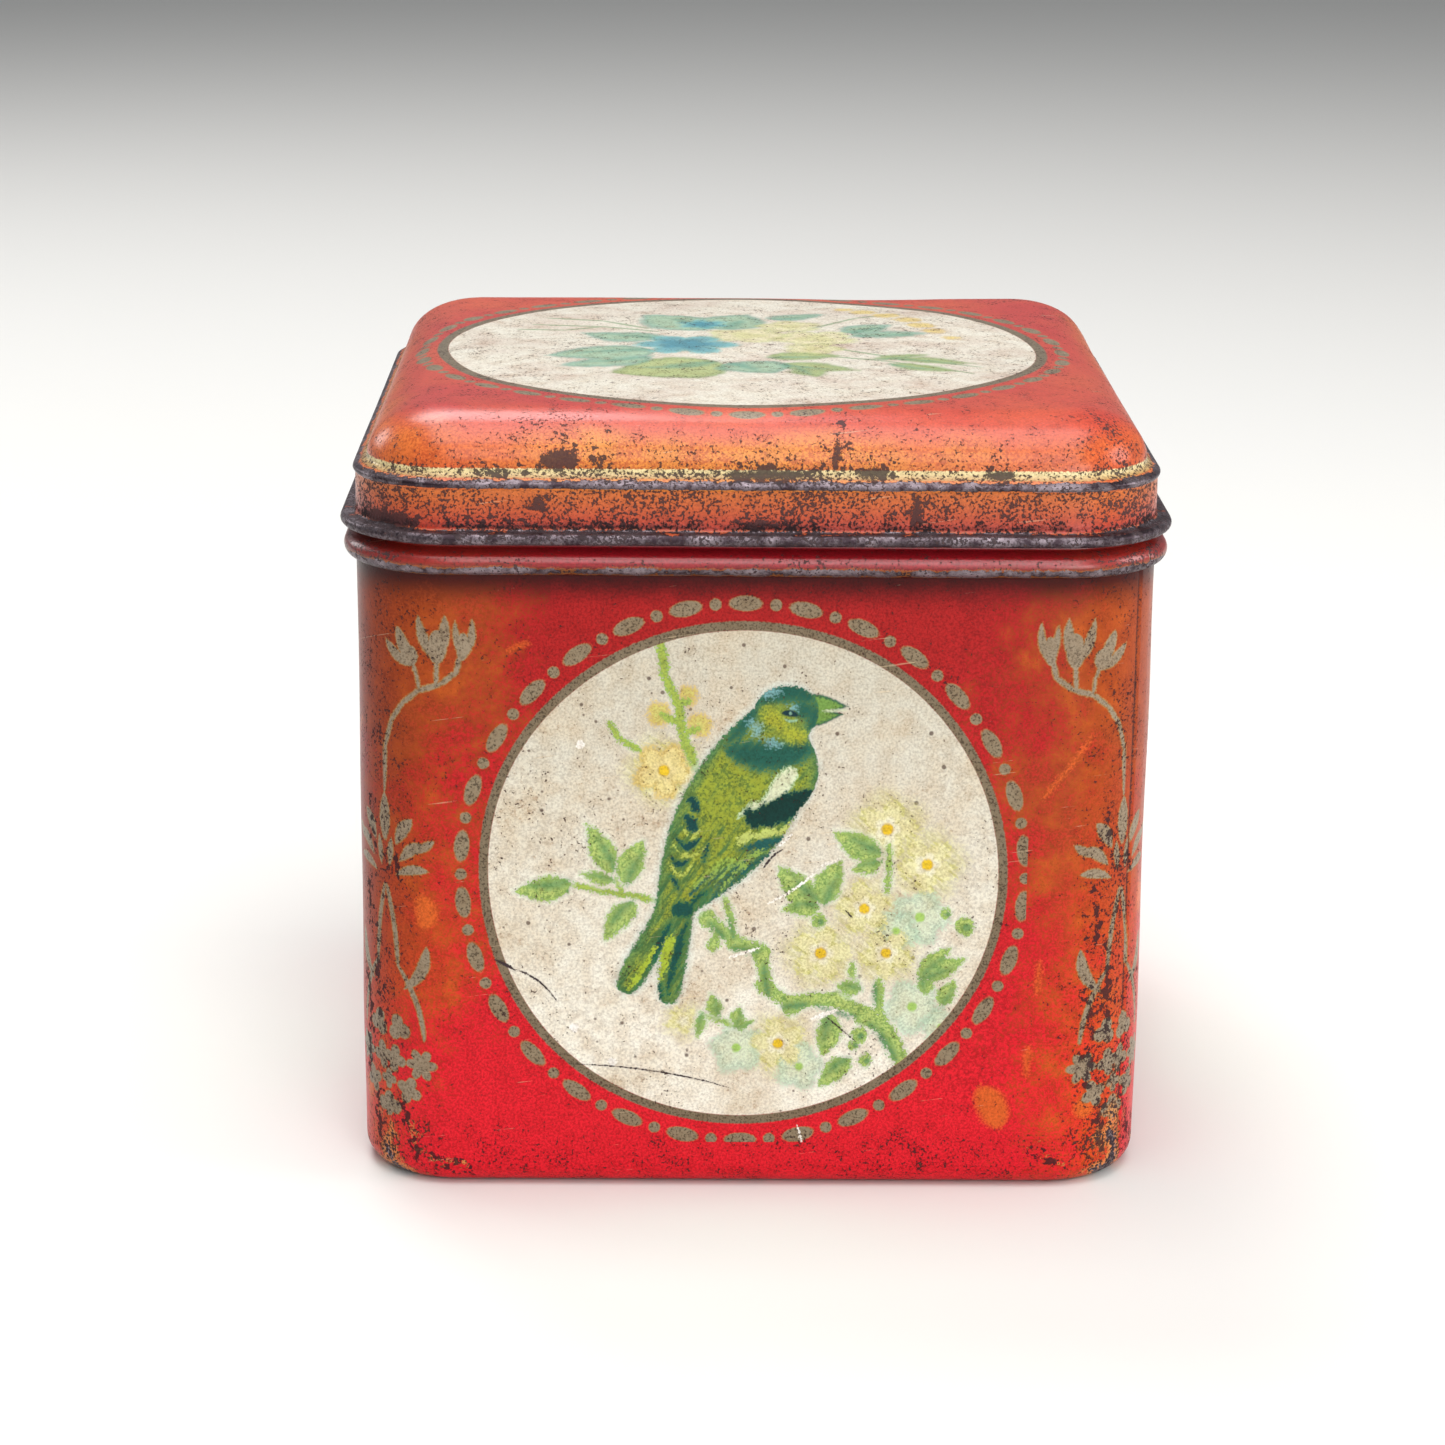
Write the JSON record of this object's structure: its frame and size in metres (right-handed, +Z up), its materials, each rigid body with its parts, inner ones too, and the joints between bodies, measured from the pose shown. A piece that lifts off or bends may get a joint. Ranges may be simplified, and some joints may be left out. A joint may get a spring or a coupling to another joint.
{
  "type": "spice tin",
  "caption": "Square tinplate storage tin with rounded corners, a beaded neck and a domed slip-on lid, printed with songbird and flower medallions.",
  "frame": {"origin": "centre of the tin on the plane that it stands on", "axes": "+Z up, the way the lid lifts; -Y towards the viewer of the front medallion; +X to that viewer's right"},
  "size_m": [0.083, 0.083, 0.0796],
  "materials": {
    "printed_wall": "glossy lithographed tinplate, red to orange with cream medallions, worn and rust-flecked",
    "bare_tinplate": "dull bare tinplate with light rust",
    "printed_lid": "glossy lithographed tinplate, red to orange, bare dark metal along the ridge and the rim"
  },
  "bodies": {
    "tin": {"body_wall": "printed_wall", "bottom_panel": "bare_tinplate"},
    "cover": {"lid": "printed_lid"}
  },
  "joints": [
    {"name": "lid_lift", "type": "slide", "parent": "tin", "child": "cover", "axis": [0, 0, 1], "range_m": [0, 0.04]}
  ]
}
